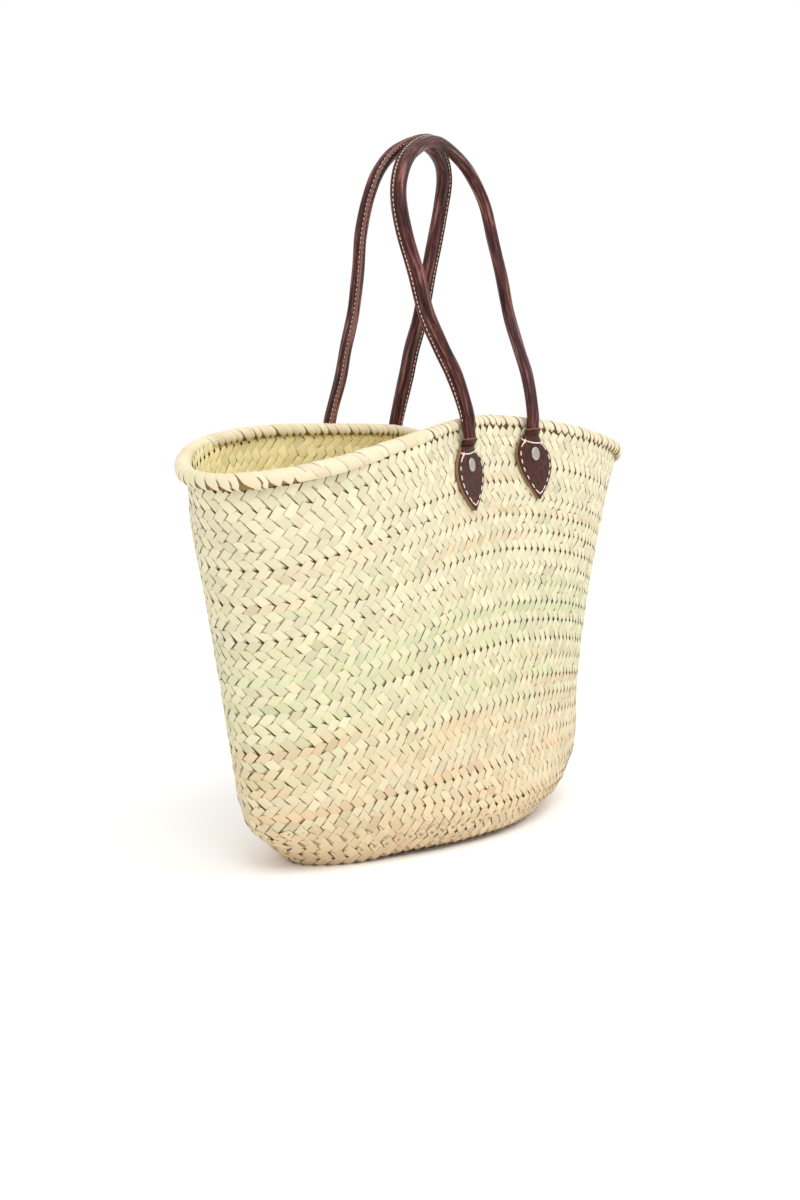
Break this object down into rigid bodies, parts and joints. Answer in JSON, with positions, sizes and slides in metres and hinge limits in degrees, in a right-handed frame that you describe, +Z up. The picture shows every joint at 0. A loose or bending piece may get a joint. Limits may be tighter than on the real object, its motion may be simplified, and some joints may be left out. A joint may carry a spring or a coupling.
{
  "type": "straw market basket bag",
  "caption": "Soft oval market basket of sewn palm-leaf braids with a bound rim and two long rolled leather handles, fixed by riveted leaf-shaped leather patches.",
  "frame": {"origin": "on the floor, under the middle of the bounding box", "axes": "+Z up; X along the long way of the mouth; -Y the front wall, whose patches face the viewer; metres"},
  "size_m": [0.5792, 0.1768, 0.5485],
  "materials": {
    "woven_palm": "matte, flat plaited strips with thin dark gaps",
    "wrapped_palm": "matte, wide leaf strips wound round the rim",
    "handle_leather": "satin, creased along its length",
    "patch_leather": "satin",
    "nickel": "brushed, slightly worn"
  },
  "bodies": {
    "root": {"basket_body": "woven_palm", "rim_roll": "wrapped_palm", "handle_front": "handle_leather", "patch_front_left": "patch_leather", "keeper_front_left": "patch_leather", "rivet_front_left": "nickel", "patch_front_right": "patch_leather", "keeper_front_right": "patch_leather", "rivet_front_right": "nickel", "handle_back": "handle_leather", "patch_back_left": "patch_leather", "keeper_back_left": "patch_leather", "rivet_back_left": "nickel", "patch_back_right": "patch_leather", "keeper_back_right": "patch_leather", "rivet_back_right": "nickel"}
  },
  "joints": []
}
